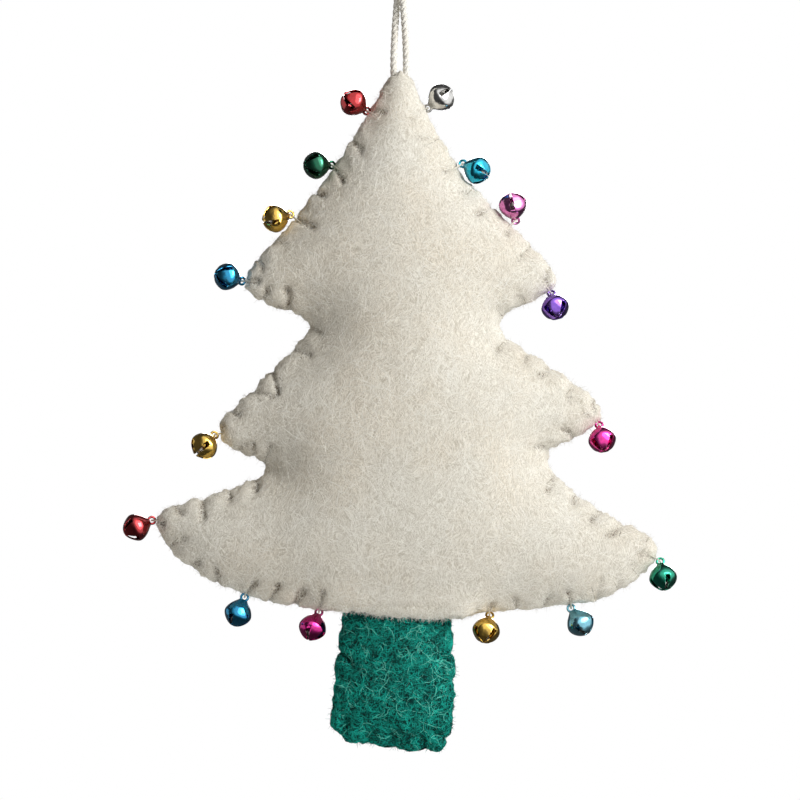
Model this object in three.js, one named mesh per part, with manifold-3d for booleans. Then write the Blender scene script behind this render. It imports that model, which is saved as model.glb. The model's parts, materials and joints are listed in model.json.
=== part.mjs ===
// Stuffed felt tree ornament with whip-stitched edges, small bells tied along them and a hanging cord loop.
// Millimetres, +Z up, front toward -Y. The origin is where a hook bears on the inside of the cord loop.

import * as THREE from 'three';
import { mergeVertices } from 'three/addons/utils/BufferGeometryUtils.js';
import Module from 'manifold-3d';

const wasm = await Module();
wasm.setup();

// Felt and stuffing
const feltThickness = 2;
const seamGap = 0.6; // between the two layers at the edge
const treeCrown = 10.5; // how far the stuffing pushes each tree layer out
const treeRoundness = 9; // distance in from the edge over which most of that rise happens
const trunkCrown = 2.8;
const trunkRoundness = 6;
const surfaceStep = 8; // spacing of the points that carry the curved surface
const surfaceWander = 0.3; // how far those points stray from an even grid
const rimBlur = 0.5; // nearest distance to the edge that counts when the crown is worked out
const fillingInset = 6.2; // from the felt edge to the stuffing
const fillingGap = 0.9; // between the stuffing and the felt
const fillingShare = 0.35; // least share of the room between the layers
const tuckGap = 0.3; // between the trunk's top and the tree layers around it

// Stitches
const stitchPitch = 6.2;
const stitchInset = 2.7; // from the edge to the holes
const scallopDepth = 0.7; // how deep each stitch draws the edge in
const scallopSwell = 0.5; // how far the edge rises between stitches
const stitchPull = 0.4; // how far the felt sinks at each hole
const threadDiameter = 0.4;
const threadGap = 0.2;
const threadBend = 0.3; // how much of the sharp corner over each hole is cut off

// Cord loop
const cordDiameter = 1.6;
const cordGap = 0.15; // between the cord and the felt tip or its own tails
const cordSides = 8;
const cordSteps = 54;
const tailLength = 6;
const knotWidth = 4.8;
const knotDepth = 3.2;

// Bells
const bellDiameter = 6.2;
const bellHeight = 5.9;
const bellWall = 0.35;
const bellGap = 0.15; // between the shell and its shank
const slotWidth = 0.5;
const slotRise = 0.1; // how far the slots stop below the middle of the ball
const slotEnd = 1.2; // width of the opening that ends each slot
const shankEye = 1.2; // inside width of the wire eye
const shankWire = 0.45;
const shankFoot = 0.4; // how far the wire feet spread inside the shell
const shankOpening = 80; // degrees of the wire eye left open toward the ball
const pelletDiameter = 2.2;
const pelletGap = 0.15;

// Edges seen from the front, x to the right and z up from the tip, anticlockwise round the felt.
// Each bend is the point a curve leans toward, then the point it reaches.
const leftEdge = {
  start: [-2.7, -1.5],
  bends: [
    [-16.2, -26.2, -33.2, -43.4],
    [-37, -48.4, -30.4, -51.2],
    [-24.4, -53.6, -21.6, -54.3],
    [-18.2, -55.3, -21.2, -58.6],
    [-26, -64.6, -38.8, -76.2],
    [-43.4, -80.8, -37.4, -83.4],
    [-33.6, -85.2, -31, -86.4],
    [-26.2, -88, -31, -89.8],
    [-37.2, -93.4, -50.4, -96.2],
    [-57.2, -98, -53, -103.4],
    [-46.4, -112.6, -31.1, -117.3],
    [-22.4, -119.4, -13.6, -119.8],
  ],
};
const mouthEdge = { start: [-13.6, -119.8], bends: [[0, -121.8, 12.6, -121.4]] };
const rightEdge = {
  start: [12.6, -121.4],
  bends: [
    [23.4, -119.3, 34.7, -118.9],
    [46.8, -118.4, 54.6, -110.8],
    [60.4, -106.4, 55.4, -103],
    [40.4, -96.8, 33.8, -88.6],
    [30.8, -84.6, 34.4, -83.2],
    [39.6, -81.6, 43, -78.8],
    [46.8, -76, 43.2, -72.8],
    [36, -66.8, 24.6, -60],
    [19.6, -55.6, 23.6, -53.4],
    [29.6, -51, 33, -49],
    [36.6, -46.6, 33.8, -43.8],
    [23, -32, 15.2, -24.6],
    [8.6, -15.6, 2.9, -1.9],
  ],
};
const tipEdge = { start: [2.9, -1.9], bends: [[0.2, 1.9, -2.7, -1.5]] };

// Trunk edges in the same frame: down the left, along the bottom, up the right, and the top inside the tree
const trunkEdge = {
  start: [-12.5, -122.5],
  bends: [
    [-13.9, -130, -14.9, -141.6],
    [-15.5, -147, -10.6, -148.8],
    [-4, -149.6, 6, -150.5],
    [11, -151.2, 11, -145.7],
    [12.8, -134, 11.4, -122.8],
  ],
};
const trunkTopEdge = {
  start: [11.4, -122.8],
  bends: [
    [11, -118, 10.8, -115.4],
    [-1, -115, -12.3, -115.4],
    [-12.3, -118, -12.5, -122.5],
  ],
};

// One half of the free cord from the middle of the tip up to the middle of the loop: x, y and z.
// The other half is turned half round, so the two legs twist past each other.
const cordRoute = [
  [1.4, 0, 0],
  [1.38, -0.05, 2.5],
  [1.28, -0.2, 5.5],
  [1.05, -0.45, 9.5],
  [0.75, -0.68, 13.5],
  [0.55, -0.78, 17.5],
  [0.5, -0.8, 23],
  [0.5, -0.8, 30],
  [0.55, -0.78, 36.5],
  [0.8, -0.66, 41.5],
  [1.25, -0.42, 45.8],
  [1.9, -0.18, 49.8],
  [2.85, -0.04, 53.8],
  [3.55, 0, 57.6],
  [2.55, 0, 60.15],
  [0, 0, 61.2],
];

// Bells in order round the edge: share of the way along its edge, degrees from straight down toward +X,
// degrees forward of the tree's plane, and degrees the ball is turned on its own axis
const leftBells = [
  { name: 'bell_01', along: 0.043, aim: -122, forward: 28, turn: 25, colour: 0xaa282d },
  { name: 'bell_02', along: 0.115, aim: -88, forward: 28, turn: 60, colour: 0x00462d },
  { name: 'bell_03', along: 0.187, aim: -73, forward: 26, turn: 40, colour: 0xbe9628 },
  { name: 'bell_04', along: 0.278, aim: -106, forward: 30, turn: 10, colour: 0x146ea0 },
  { name: 'bell_05', along: 0.537, aim: -43, forward: 34, turn: 35, colour: 0xbe9628 },
  { name: 'bell_06', along: 0.758, aim: -66, forward: 12, turn: 50, colour: 0x8c2328 },
  { name: 'bell_07', along: 0.894, aim: -22, forward: 0, turn: 15, colour: 0x146ea0 },
  { name: 'bell_08', along: 0.978, aim: -22, forward: 20, turn: 45, colour: 0xb4146e },
];
const rightBells = [
  { name: 'bell_09', along: 0.036, aim: -14, forward: 30, turn: 30, colour: 0xbe9628 },
  { name: 'bell_10', along: 0.125, aim: 32, forward: 10, turn: 20, colour: 0x78aac8 },
  { name: 'bell_11', along: 0.234, aim: 8, forward: 24, turn: 45, colour: 0x00785a },
  { name: 'bell_12', along: 0.479, aim: 10, forward: 32, turn: 0, colour: 0xc81e78 },
  { name: 'bell_13', along: 0.713, aim: 14, forward: 36, turn: 30, colour: 0x643caa },
  { name: 'bell_14', along: 0.808, aim: -168, forward: 30, turn: 55, colour: 0xc85aa0 },
  { name: 'bell_15', along: 0.894, aim: 64, forward: 22, turn: 10, colour: 0x0096b4 },
  { name: 'bell_16', along: 0.966, aim: 128, forward: 10, turn: 35, colour: 0xbebeb9 },
];

// Sizes that follow from the ones above
const cordRadius = cordDiameter / 2;
const threadRadius = threadDiameter / 2;
const bellRadius = bellDiameter / 2;
const eyeRadius = shankEye / 2 + shankWire;
const shankLeg = (shankEye - shankWire) / 2 + bellGap; // from the bell's axis to each wire leg
const ballDrop = eyeRadius + bellHeight / 2; // from the eye's middle to the ball's middle
const loopRise = cordRoute[cordRoute.length - 1][2] - cordRadius; // from the tip's hinge to the hook
const tipDrop = loopRise + cordRadius + cordGap; // from the hook to the felt tip

function merged(geometry) {
  geometry.deleteAttribute('normal');
  geometry.deleteAttribute('uv');
  return mergeVertices(geometry, 1e-4);
}

function solidOf(geometry) {
  const clean = merged(geometry);
  return new wasm.Manifold(new wasm.Mesh({
    numProp: 3,
    vertProperties: new Float32Array(clean.attributes.position.array),
    triVerts: new Uint32Array(clean.index.array),
  }));
}

function geometryOf(solid) {
  const mesh = solid.getMesh();
  const geometry = new THREE.BufferGeometry();
  geometry.setAttribute('position', new THREE.BufferAttribute(new Float32Array(mesh.vertProperties), 3));
  geometry.setIndex(Array.from(mesh.triVerts));
  geometry.computeVertexNormals();
  return geometry;
}

function edgePath(edge) {
  const path = new THREE.Path();
  path.moveTo(...edge.start);
  for (const bend of edge.bends) path.quadraticCurveTo(...bend);
  return path;
}

// A route through given points, with one tube section at each
class PointRoute extends THREE.Curve {
  constructor(points) {
    super();
    this.points = points;
  }

  getPoint(t) {
    const along = t * (this.points.length - 1);
    const first = Math.min(Math.floor(along), this.points.length - 2);
    return this.points[first].clone().lerp(this.points[first + 1], along - first);
  }

  getPointAt(u) {
    return this.getPoint(u);
  }

  getTangentAt(u) {
    const last = this.points.length - 1;
    const here = Math.round(u * last);
    const ahead = this.points[Math.min(here + 1, last)].clone().sub(this.points[here]).normalize();
    const behind = this.points[here].clone().sub(this.points[Math.max(here - 1, 0)]).normalize();
    return ahead.add(behind).normalize();
  }
}

function tube(route, steps, radius, sides) {
  const section = new THREE.Shape();
  for (let side = 0; side < sides; side++) {
    const angle = (2 * Math.PI * side) / sides;
    if (side === 0) section.moveTo(radius, 0);
    else section.lineTo(radius * Math.cos(angle), radius * Math.sin(angle));
  }
  return new THREE.ExtrudeGeometry(section, { steps, extrudePath: route, curveSegments: 1 });
}

function tubeThrough(points, radius, sides) {
  return tube(new PointRoute(points), points.length - 1, radius, sides);
}

// Triangles that join plan points, each anticlockwise, with no point inside another triangle's circle
function joinPoints(points) {
  const far = 1e4;
  const frame = [new THREE.Vector2(-far, -far), new THREE.Vector2(far, -far), new THREE.Vector2(0, far)];
  const all = [...points, ...frame];
  const count = points.length;
  const circled = (a, b, c) => {
    const [p, q, r] = [all[a], all[b], all[c]];
    const d = 2 * (p.x * (q.y - r.y) + q.x * (r.y - p.y) + r.x * (p.y - q.y));
    const [pp, qq, rr] = [p.lengthSq(), q.lengthSq(), r.lengthSq()];
    const x = (pp * (q.y - r.y) + qq * (r.y - p.y) + rr * (p.y - q.y)) / d;
    const y = (pp * (r.x - q.x) + qq * (p.x - r.x) + rr * (q.x - p.x)) / d;
    return { corners: [a, b, c], x, y, reach: (p.x - x) ** 2 + (p.y - y) ** 2 };
  };
  let triangles = [circled(count, count + 1, count + 2)];
  for (let index = 0; index < count; index++) {
    const point = all[index];
    const rim = new Map();
    const kept = [];
    for (const triangle of triangles) {
      if ((point.x - triangle.x) ** 2 + (point.y - triangle.y) ** 2 >= triangle.reach) {
        kept.push(triangle);
        continue;
      }
      const [a, b, c] = triangle.corners;
      for (const [from, to] of [[a, b], [b, c], [c, a]]) {
        if (!rim.delete(`${to} ${from}`)) rim.set(`${from} ${to}`, [from, to]);
      }
    }
    triangles = kept;
    for (const [from, to] of rim.values()) triangles.push(circled(from, to, index));
  }
  return triangles.map((triangle) => triangle.corners).filter((corners) => corners.every((c) => c < count));
}

function inside(point, loop) {
  let within = false;
  for (let i = 0, j = loop.length - 1; i < loop.length; j = i++) {
    const crosses = (loop[i].y > point.y) !== (loop[j].y > point.y);
    const run = (loop[j].x - loop[i].x) * (point.y - loop[i].y) / (loop[j].y - loop[i].y);
    if (crosses && point.x < run + loop[i].x) within = !within;
  }
  return within;
}

// A closed shell between two heights over the same plan; the near heights face -Y
function slab(points, triangles, near, far) {
  const count = points.length;
  const positions = [];
  points.forEach((point, index) => positions.push(point.x, near[index], point.y));
  points.forEach((point, index) => positions.push(point.x, far[index], point.y));
  const faces = [];
  const rim = new Map();
  for (const [a, b, c] of triangles) {
    faces.push(a, b, c, count + c, count + b, count + a);
    for (const [from, to] of [[a, b], [b, c], [c, a]]) {
      if (!rim.delete(`${to} ${from}`)) rim.set(`${from} ${to}`, [from, to]);
    }
  }
  for (const [from, to] of rim.values()) {
    faces.push(to, from, count + from, to, count + from, count + to);
  }
  const geometry = new THREE.BufferGeometry();
  geometry.setAttribute('position', new THREE.Float32BufferAttribute(positions, 3));
  geometry.setIndex(faces);
  const used = merged(geometry.toNonIndexed());
  used.computeVertexNormals();
  return used;
}

// Stitches at each fixed share of an edge and evenly between them
function stitchesAlong(edge, fixed) {
  const path = edgePath(edge);
  const length = path.getLength();
  const stops = [0, ...fixed, 1];
  const shares = [];
  for (let stop = 1; stop < stops.length; stop++) {
    const span = stops[stop] - stops[stop - 1];
    const parts = Math.max(1, Math.round((span * length) / stitchPitch));
    for (let part = 1; part <= parts; part++) shares.push(stops[stop - 1] + (span * part) / parts);
  }
  shares.pop();
  return shares.map((share) => {
    const point = path.getPoint(share);
    const along = path.getTangent(share);
    const out = new THREE.Vector2(along.y, -along.x);
    const hole = point.clone().addScaledVector(out, -stitchInset);
    return { share, point, out, hole, reach: threadGap + threadRadius - scallopDepth };
  });
}

// The plan and heights of one felt layer: stitched edges are scalloped and holed, plain edges are not
function feltLayer(edges, crown, roundness, lifted) {
  const smooth = [];
  for (const { edge } of edges) {
    const path = edgePath(edge);
    const parts = Math.ceil(path.getLength());
    for (let part = 0; part < parts; part++) smooth.push(path.getPoint(part / parts));
  }
  const depthAt = (point) => {
    let nearness = 0;
    smooth.forEach((here, index) => {
      const next = smooth[(index + 1) % smooth.length];
      nearness += here.distanceTo(next) / Math.max(here.distanceTo(point), rimBlur) ** 3;
    });
    return Math.sqrt(2 / nearness);
  };
  const riseAt = (point) => seamGap / 2 + crown * (1 - Math.exp(-depthAt(point) / roundness));
  const innerAt = (point, rise) => lifted(point, rise ?? riseAt(point));

  const points = [];
  const heights = [];
  const add = (point, rise) => {
    points.push(point);
    heights.push(innerAt(point, rise));
  };
  const holes = [];
  for (const { edge, stitches, plainParts } of edges) {
    const path = edgePath(edge);
    if (!stitches) {
      for (let part = 0; part < plainParts; part++) add(path.getPoint(part / plainParts), seamGap / 2);
      continue;
    }
    const shares = [0, ...stitches.map((stitch) => stitch.share), 1];
    for (let stop = 1; stop < shares.length; stop++) {
      const span = shares[stop] - shares[stop - 1];
      if (stop === 1) add(path.getPoint(0), seamGap / 2);
      for (const share of [0.3, 0.7]) {
        add(path.getPoint(shares[stop - 1] + span * share), seamGap / 2 + scallopSwell);
      }
      const stitch = stitches[stop - 1];
      if (stitch) add(stitch.point.clone().addScaledVector(stitch.out, -scallopDepth), seamGap / 2);
    }
    holes.push(...stitches);
  }
  const loop = points.slice();
  for (const stitch of holes) {
    stitch.holeHeight = innerAt(stitch.hole, riseAt(stitch.hole) - stitchPull);
    stitch.edgeHeight = innerAt(stitch.point, seamGap / 2);
    for (const corner of [0, 1, 2]) {
      const angle = Math.atan2(stitch.out.y, stitch.out.x) + Math.PI + (2 * Math.PI * corner) / 3;
      const way = new THREE.Vector2(Math.cos(angle), Math.sin(angle));
      const point = stitch.hole.clone().addScaledVector(way, 2 * (threadRadius + threadGap));
      add(point, riseAt(point) - stitchPull);
    }
  }
  const box = new THREE.Box2().setFromPoints(smooth);
  const surface = [];
  let row = 0;
  for (let z = box.min.y; z < box.max.y; z += surfaceStep * Math.sqrt(0.75)) {
    row++;
    for (let x = box.min.x + (row % 2) * surfaceStep / 2; x < box.max.x; x += surfaceStep) {
      const wander = new THREE.Vector2(Math.sin(7 * x + 3 * z), Math.cos(5 * x - 4 * z));
      const point = new THREE.Vector2(x, z).addScaledVector(wander, surfaceWander);
      if (!inside(point, smooth) || depthAt(point) < stitchInset + surfaceStep / 3) continue;
      surface.push(point);
    }
  }
  for (const point of surface) add(point);
  const triangles = joinPoints(points).filter((corners) => {
    const middle = new THREE.Vector2();
    for (const corner of corners) middle.addScaledVector(points[corner], 1 / 3);
    const pierced = holes.some((stitch) => stitch.hole.distanceTo(middle) < threadRadius);
    return !pierced && inside(middle, loop);
  });
  return { points, triangles, heights, smooth, surface, innerAt };
}

function layerSolid(layer, facing) {
  const inner = layer.heights.map((height) => facing * height);
  const outer = layer.heights.map((height) => facing * (height + feltThickness));
  const [near, far] = facing < 0 ? [outer, inner] : [inner, outer];
  return slab(layer.points, layer.triangles, near, far);
}

// Inner height of a felt layer's own faces at a plan point
function heightOn(layer, point) {
  const at = (corner) => new THREE.Vector3(layer.points[corner].x, layer.points[corner].y, 0);
  const probe = new THREE.Vector3(point.x, point.y, 0);
  const shares = new THREE.Vector3();
  for (const [a, b, c] of layer.triangles) {
    THREE.Triangle.getBarycoord(probe, at(a), at(b), at(c), shares);
    if (Math.min(shares.x, shares.y, shares.z) < -1e-6) continue;
    return shares.x * layer.heights[a] + shares.y * layer.heights[b] + shares.z * layer.heights[c];
  }
  return layer.innerAt(point);
}

// Stuffing under both layers, drawn in from the edge all round and moved clear of what is tucked in
function fillingSolid(layer, clearOf) {
  const count = layer.smooth.length;
  const rim = [];
  layer.smooth.forEach((here, index) => {
    const before = layer.smooth[(index + count - 1) % count];
    const along = layer.smooth[(index + 1) % count].clone().sub(before).normalize();
    const moved = here.clone().add(new THREE.Vector2(-along.y, along.x).multiplyScalar(fillingInset));
    const nearest = Math.min(...layer.smooth.map((other) => other.distanceTo(moved)));
    clearOf(moved);
    const spaced = rim.every((other) => other.distanceTo(moved) > surfaceStep / 2);
    if (nearest > fillingInset - fillingGap / 4 && spaced) rim.push(moved);
  });
  const clear = (point) => rim.every((other) => other.distanceTo(point) > surfaceStep / 2);
  const points = [...rim, ...layer.surface.filter((point) => inside(point, rim) && clear(point))];
  const triangles = joinPoints(points).filter((corners) => {
    const middle = new THREE.Vector2();
    for (const corner of corners) middle.addScaledVector(points[corner], 1 / 3);
    return inside(middle, rim);
  });
  const heights = points.map((point, index) => {
    const gap = index < rim.length ? 2 * fillingGap : fillingGap;
    const room = heightOn(layer, point);
    return Math.max(room - gap, fillingShare * room);
  });
  return slab(points, triangles, heights.map((height) => -height), heights);
}

// Whip stitch: over the edge at each stitch, then inside the seam to the next one
function threadSolid(stitches) {
  const route = [];
  const place = (plan, y) => route.push(new THREE.Vector3(plan.x, y, plan.y));
  const within = threadRadius + threadGap / 2;
  for (const { point, out, hole, holeHeight, edgeHeight, reach } of stitches) {
    const turned = point.clone().addScaledVector(out, reach);
    const over = holeHeight + feltThickness + threadGap + threadRadius;
    const edge = edgeHeight + feltThickness;
    const bent = hole.clone().addScaledVector(out, threadBend);
    place(hole, -within);
    place(hole, threadBend - over);
    place(bent, -over);
    place(turned, -edge);
    place(turned, edge);
    place(bent, over);
    place(hole, over - threadBend);
    place(hole, within);
  }
  return tubeThrough(route, threadRadius, 3);
}

// Bell pieces, with the wire eye's middle at the origin and the ball straight below it
function shellSolid() {
  const mouth = shankLeg + shankWire / 2 + bellGap;
  const profile = [];
  const addWall = (wall, rows, downward) => {
    const start = Math.asin(mouth / (bellRadius - wall));
    for (let row = 0; row <= rows; row++) {
      const angle = start + ((Math.PI - start) * (downward ? row : rows - row)) / rows;
      const radius = (bellRadius - wall) * Math.sin(angle);
      profile.push(new THREE.Vector2(radius, (bellHeight / 2 - wall) * Math.cos(angle) - ballDrop));
    }
  };
  addWall(0, 5, false);
  addWall(bellWall, 3, true);
  profile[0].x = 0;
  profile[profile.length - 1].x = 0;
  const ball = new THREE.LatheGeometry(profile, 8);
  ball.rotateX(Math.PI / 2);
  let shell = solidOf(ball);
  const span = 2 * bellDiameter;
  for (const quarter of [0, 1]) {
    const slot = new THREE.BoxGeometry(slotWidth, span, bellHeight);
    slot.translate(0, 0, -ballDrop - slotRise - bellHeight / 2);
    const end = new THREE.CylinderGeometry(slotEnd / 2, slotEnd / 2, span, 4);
    end.translate(0, 0, -ballDrop - slotRise - slotEnd / 2);
    for (const cut of [slot, end]) shell = shell.subtract(solidOf(cut).rotate([0, 0, 90 * quarter]));
  }
  return geometryOf(shell);
}

function shankSolid() {
  const middle = shankEye / 2 + shankWire / 2;
  const footDrop = eyeRadius + bellWall + bellGap + shankWire;
  const foot = (side) => new THREE.Vector3(side * (shankLeg + shankFoot), 0, -footDrop);
  const heel = (side) => new THREE.Vector3(side * shankLeg, 0, -footDrop);
  const points = [foot(1), heel(1)];
  const steps = 6;
  for (let step = 0; step <= steps; step++) {
    const degrees = shankOpening / 2 - 90 + ((360 - shankOpening) * step) / steps;
    const angle = THREE.MathUtils.degToRad(degrees);
    points.push(new THREE.Vector3(middle * Math.cos(angle), 0, middle * Math.sin(angle)));
  }
  points.push(heel(-1), foot(-1));
  return tubeThrough(points, shankWire / 2, 4);
}

function metal(colour) {
  return new THREE.MeshStandardMaterial({ color: colour, roughness: 0.22, metalness: 1 });
}

function felt(colour) {
  return new THREE.MeshStandardMaterial({ color: colour, roughness: 1, metalness: 0 });
}

function piece(name, geometry, material) {
  const mesh = new THREE.Mesh(geometry, material);
  mesh.name = name;
  return mesh;
}

const creamFelt = felt(0xe4e2d6);
const greenFelt = felt(0x0a7864);
const whiteFibre = felt(0xf2f0ea);
const steelWire = metal(0xb9b6ae);

const ornament = new THREE.Group();
ornament.name = 'ornament';

// Cord loop above the tip, and its tails knotted inside the tip
const cordHalf = cordRoute.map(([x, y, z]) => new THREE.Vector3(x, y, z - loopRise));
const cordOther = cordHalf.slice(0, -1).map((point) => new THREE.Vector3(-point.x, -point.y, point.z));
const cordCurve = new THREE.CatmullRomCurve3([...cordHalf, ...cordOther.reverse()]);
ornament.add(piece('hanging_loop', tube(cordCurve, cordSteps, cordRadius, cordSides), felt(0xd9d0bc)));

const tree = new THREE.Group();
tree.name = 'tree';
tree.position.z = -tipDrop;
ornament.add(tree);

const tailSpread = cordRoute[0][0];
const knotBall = new THREE.SphereGeometry(knotDepth / 2, 10, 8);
knotBall.scale(knotWidth / knotDepth, 1, 1);
knotBall.translate(0, 0, -tailLength - knotDepth / 4);
let knot = solidOf(knotBall);
for (const side of [-1, 1]) {
  const tail = new THREE.CylinderGeometry(cordRadius, cordRadius, tailLength, cordSides);
  tail.rotateX(Math.PI / 2);
  tail.translate(side * tailSpread, 0, -tailLength / 2);
  knot = knot.add(solidOf(tail));
}
tree.add(piece('loop_knot', geometryOf(knot), felt(0xd9d0bc)));

// Trunk, whose top is tucked between the tree layers
const trunkStitches = stitchesAlong(trunkEdge, []);
const trunkLayer = feltLayer(
  [{ edge: trunkEdge, stitches: trunkStitches }, { edge: trunkTopEdge, plainParts: 9 }],
  trunkCrown,
  trunkRoundness,
  (point, rise) => rise,
);
tree.add(piece('trunk_front', layerSolid(trunkLayer, -1), greenFelt));
tree.add(piece('trunk_back', layerSolid(trunkLayer, 1), greenFelt));
tree.add(piece('trunk_filling', fillingSolid(trunkLayer, (point) => point), whiteFibre));
tree.add(piece('trunk_thread', threadSolid(trunkStitches), greenFelt));

// Tree layers, held apart where the trunk's top and the cord's tails pass between them
const trunkTop = trunkTopEdge.bends[0][3];
const trunkMiddle = (trunkTopEdge.start[0] + trunkEdge.start[0]) / 2;
const trunkHalf = (trunkTopEdge.start[0] - trunkEdge.start[0]) / 2;
const trunkMouth = new THREE.Vector2(trunkMiddle, trunkEdge.start[1]);
const trunkRoom = trunkLayer.innerAt(trunkMouth) + feltThickness + tuckGap;
const tailRoom = cordRadius + cordGap;
const ease = (share) => THREE.MathUtils.smoothstep(share, 0, 1);
const spread = (point, rise) => {
  const aside = Math.max(0, Math.abs(point.x - trunkMiddle) - trunkHalf - surfaceStep / 4);
  const above = Math.max(0, point.y - trunkTop - surfaceStep / 4);
  const trunkShare = ease(1 - Math.hypot(aside, above) / surfaceStep);
  const tailShare = ease(1.5 - Math.hypot(point.x, point.y) / surfaceStep);
  const forTrunk = rise + Math.max(0, trunkRoom - rise) * trunkShare;
  return forTrunk + Math.max(0, tailRoom - forTrunk) * tailShare;
};
const leftStitches = stitchesAlong(leftEdge, leftBells.map((bell) => bell.along));
const rightStitches = stitchesAlong(rightEdge, rightBells.map((bell) => bell.along));

// Each bell hangs far enough out for its ball to clear the felt at the angle it leans
function tieBells(bells, stitches) {
  for (const bell of bells) {
    const aim = THREE.MathUtils.degToRad(bell.aim);
    const forward = THREE.MathUtils.degToRad(bell.forward);
    bell.stitch = stitches.find((stitch) => Math.abs(stitch.share - bell.along) < 1e-9);
    const way = new THREE.Vector2(Math.sin(aim), -Math.cos(aim)).multiplyScalar(Math.cos(forward));
    const ballReach = bellRadius + threadGap - ballDrop * way.dot(bell.stitch.out);
    bell.stitch.reach = Math.max(eyeRadius + threadGap - scallopDepth, ballReach);
  }
}
tieBells(leftBells, leftStitches);
tieBells(rightBells, rightStitches);

const treeLayer = feltLayer(
  [
    { edge: leftEdge, stitches: leftStitches },
    { edge: mouthEdge, plainParts: 6 },
    { edge: rightEdge, stitches: rightStitches },
    { edge: tipEdge, plainParts: 3 },
  ],
  treeCrown,
  treeRoundness,
  spread,
);
tree.add(piece('front_panel', layerSolid(treeLayer, -1), creamFelt));
tree.add(piece('back_panel', layerSolid(treeLayer, 1), creamFelt));
const aboveTrunk = (point) => {
  const besideTrunk = Math.abs(point.x - trunkMiddle) > trunkHalf + surfaceStep;
  if (!besideTrunk) point.y = Math.max(point.y, trunkTop + fillingGap);
};
tree.add(piece('filling', fillingSolid(treeLayer, aboveTrunk), whiteFibre));
tree.add(piece('edge_thread_left', threadSolid(leftStitches), creamFelt));
tree.add(piece('edge_thread_right', threadSolid(rightStitches), creamFelt));

// Bells, each turned about the thread that runs through its eye
const shell = shellSolid();
const shank = shankSolid();
const pellet = new THREE.OctahedronGeometry(pelletDiameter / 2, 1);
const pelletLow = bellHeight / 2 - bellWall - pelletGap - pelletDiameter / 2;
const footLevel = ballDrop - eyeRadius - bellWall - bellGap - 1.5 * shankWire;
const pelletHigh = footLevel - pelletGap - pelletDiameter / 2;
for (const bell of [...leftBells, ...rightBells]) {
  const group = new THREE.Group();
  group.name = bell.name;
  const hang = bell.stitch.point.clone().addScaledVector(bell.stitch.out, bell.stitch.reach);
  group.position.set(hang.x, 0, hang.y);
  group.rotation.set(THREE.MathUtils.degToRad(-bell.forward), THREE.MathUtils.degToRad(-bell.aim), 0, 'YXZ');
  const ball = piece(`${bell.name}_shell`, shell, metal(bell.colour));
  ball.rotation.z = THREE.MathUtils.degToRad(bell.turn);
  const loose = piece(`${bell.name}_pellet`, pellet, steelWire);
  const pointsDown = Math.abs(bell.aim) <= 90;
  loose.position.z = -ballDrop + (pointsDown ? -pelletLow : pelletHigh);
  group.add(ball, piece(`${bell.name}_shank`, shank, metal(bell.colour)), loose);
  tree.add(group);
}

export default ornament;
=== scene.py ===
import json
import math
import random

import bmesh
import bpy
import numpy as np
from mathutils import Matrix, Vector, noise
from mathutils.bvhtree import BVHTree


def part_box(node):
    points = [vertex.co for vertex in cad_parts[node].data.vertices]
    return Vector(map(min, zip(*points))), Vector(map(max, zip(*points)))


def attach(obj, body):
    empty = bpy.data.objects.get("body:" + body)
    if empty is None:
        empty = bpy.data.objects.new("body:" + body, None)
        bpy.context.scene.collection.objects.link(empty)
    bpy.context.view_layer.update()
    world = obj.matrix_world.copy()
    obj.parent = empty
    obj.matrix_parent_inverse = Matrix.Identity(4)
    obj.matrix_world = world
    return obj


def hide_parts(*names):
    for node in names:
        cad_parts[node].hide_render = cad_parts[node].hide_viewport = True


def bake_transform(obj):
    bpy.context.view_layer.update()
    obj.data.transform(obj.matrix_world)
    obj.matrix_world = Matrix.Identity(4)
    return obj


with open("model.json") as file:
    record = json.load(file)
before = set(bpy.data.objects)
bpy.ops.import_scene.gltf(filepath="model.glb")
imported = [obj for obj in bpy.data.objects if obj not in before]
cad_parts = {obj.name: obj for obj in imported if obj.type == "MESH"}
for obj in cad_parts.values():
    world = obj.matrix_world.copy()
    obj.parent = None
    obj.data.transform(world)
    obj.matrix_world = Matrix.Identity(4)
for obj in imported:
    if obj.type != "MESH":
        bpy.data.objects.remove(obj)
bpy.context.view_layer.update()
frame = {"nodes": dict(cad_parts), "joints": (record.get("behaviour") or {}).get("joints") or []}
scene = bpy.context.scene
scene.view_settings.view_transform = "Standard"
mm = 0.001
feltTip = -61.35  # felt tip below the hook, mm
hinges = {joint["child"]: Vector(joint["pos_m"]) for joint in frame["joints"] if joint["type"] == "hinge"}
swings = {joint["child"]: joint["range_deg"] for joint in frame["joints"] if joint["type"] == "hinge"}


# camera, same frame as the photo
shot = {"lens": 200, "sensor": 36, "width": 177.8, "middle": -134.24}
lensView = bpy.data.cameras.new("camera")
lensView.lens = shot["lens"]
lensView.sensor_width = shot["sensor"]
lensView.clip_start = 0.01
cameraStand = bpy.data.objects.new("camera", lensView)
cameraStand.location = (0, -shot["width"] * shot["lens"] / shot["sensor"] * mm, shot["middle"] * mm)
cameraStand.rotation_euler = (math.pi / 2, 0, 0)
scene.collection.objects.link(cameraStand)
scene.camera = cameraStand
print("camera set")


def newPiece(name, mesh, *finishes):
    piece = bpy.data.objects.new(name, mesh)
    scene.collection.objects.link(piece)
    for finish in finishes:
        mesh.materials.append(finish)
    return piece


def meshOf(name, bm):
    mesh = bpy.data.meshes.new(name)
    bm.to_mesh(mesh)
    bm.free()
    return mesh


def bake(piece):  # modifiers become the mesh
    ready = piece.evaluated_get(bpy.context.evaluated_depsgraph_get())
    old = piece.data
    mesh = bpy.data.meshes.new_from_object(ready)
    piece.modifiers.clear()
    piece.data = mesh
    mesh.name = piece.name
    bpy.data.meshes.remove(old)


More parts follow.
